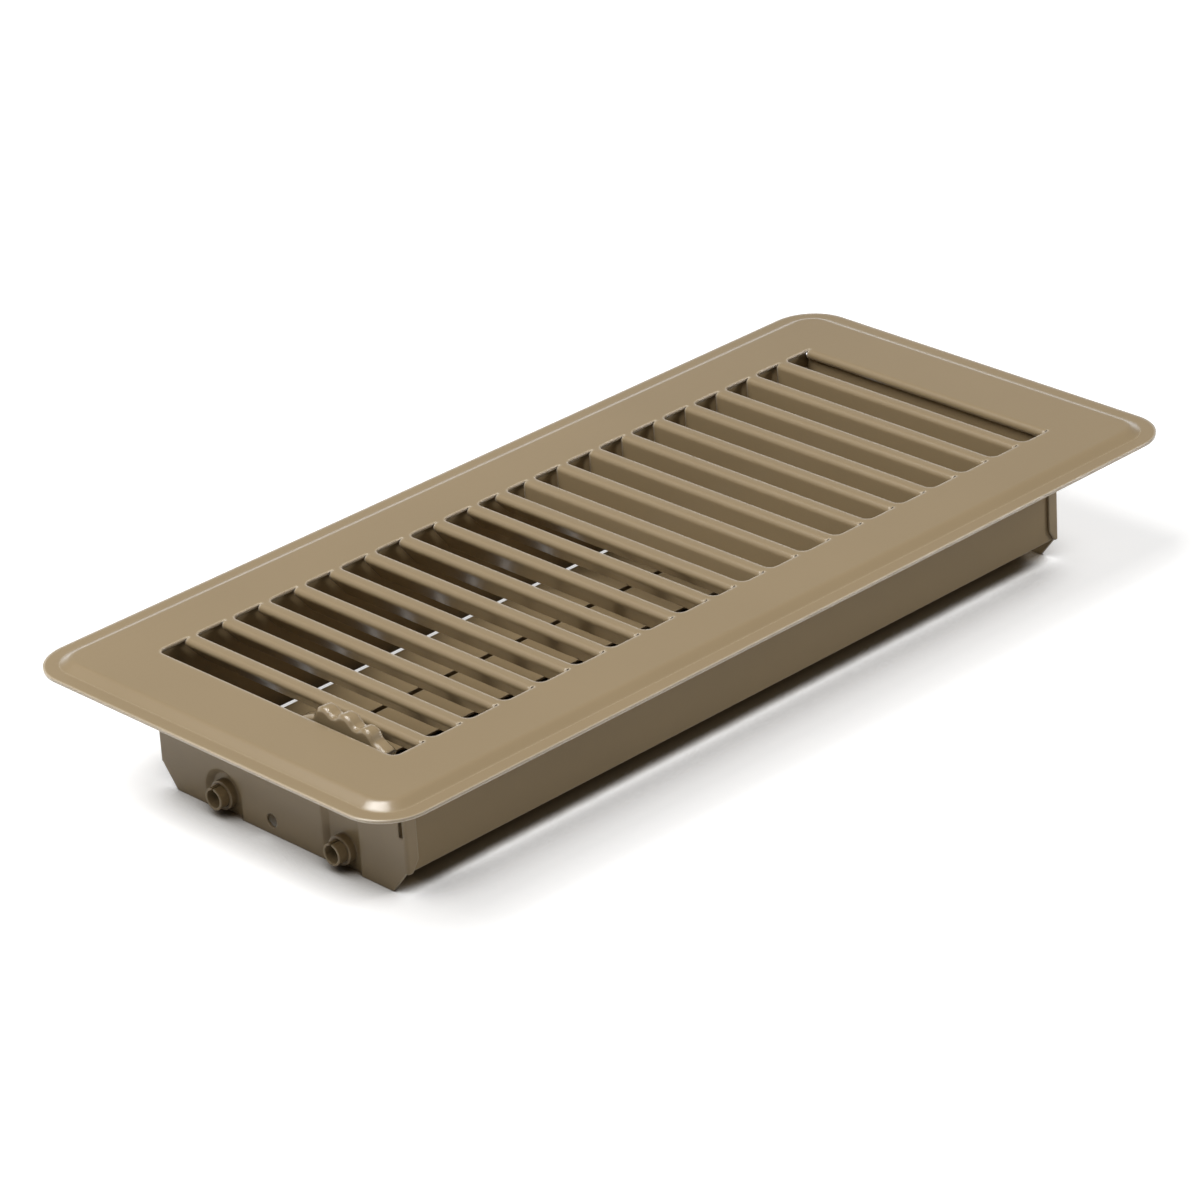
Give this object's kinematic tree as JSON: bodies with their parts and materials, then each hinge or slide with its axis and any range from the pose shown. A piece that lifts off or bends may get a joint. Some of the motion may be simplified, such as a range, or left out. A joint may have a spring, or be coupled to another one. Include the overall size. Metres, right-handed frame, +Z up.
{
  "type": "floor register",
  "caption": "Stamped steel floor register with folded louvre fins, a shallow damper box, opposed damper blades and a scalloped thumb lever.",
  "frame": {"origin": "middle of the footprint, at the bottom of the two end plates", "axes": "+X along the face, away from the thumb lever; +Y across the face; +Z up out of the floor, along the face's outward normal"},
  "size_m": [0.291, 0.1366, 0.0415],
  "materials": {
    "face_enamel": "satin taupe enamel on stamped steel",
    "box_enamel": "satin taupe enamel, thinner than on the face",
    "end_enamel": "satin taupe enamel, thinner than on the face",
    "blade_enamel": "satin taupe enamel",
    "lever_enamel": "glossier taupe enamel",
    "link_steel": "plain zinc-coated steel"
  },
  "bodies": {
    "base": {"face_plate": "face_enamel", "side_wall_left": "box_enamel", "side_wall_right": "box_enamel", "end_plate_near": "end_enamel", "end_plate_far": "end_enamel"},
    "damper_right": {"damper_blade_right": "blade_enamel", "thumb_lever": "lever_enamel"},
    "damper_left": {"damper_blade_left": "blade_enamel"},
    "link": {"link_bar": "link_steel", "link_rivets": "link_steel"}
  },
  "joints": [
    {"name": "lever_turn", "type": "hinge", "parent": "base", "child": "damper_right", "pos_m": [0, -0.0224, 0.0052], "axis": [-1, 0, 0], "range_deg": [0, 50]},
    {"name": "left_blade_turn", "type": "hinge", "parent": "base", "child": "damper_left", "pos_m": [0, 0.0224, 0.0052], "axis": [-1, 0, 0], "range_deg": [0, 50]},
    {"name": "link_turn", "type": "hinge", "parent": "damper_right", "child": "link", "pos_m": [0.1133, -0.0269, 0.01299], "axis": [-1, 0, 0], "range_deg": [-50, 0]}
  ],
  "couplings": [
    {"joint": "left_blade_turn", "follows": "lever_turn", "ratio": 1},
    {"joint": "link_turn", "follows": "lever_turn", "ratio": -1}
  ]
}
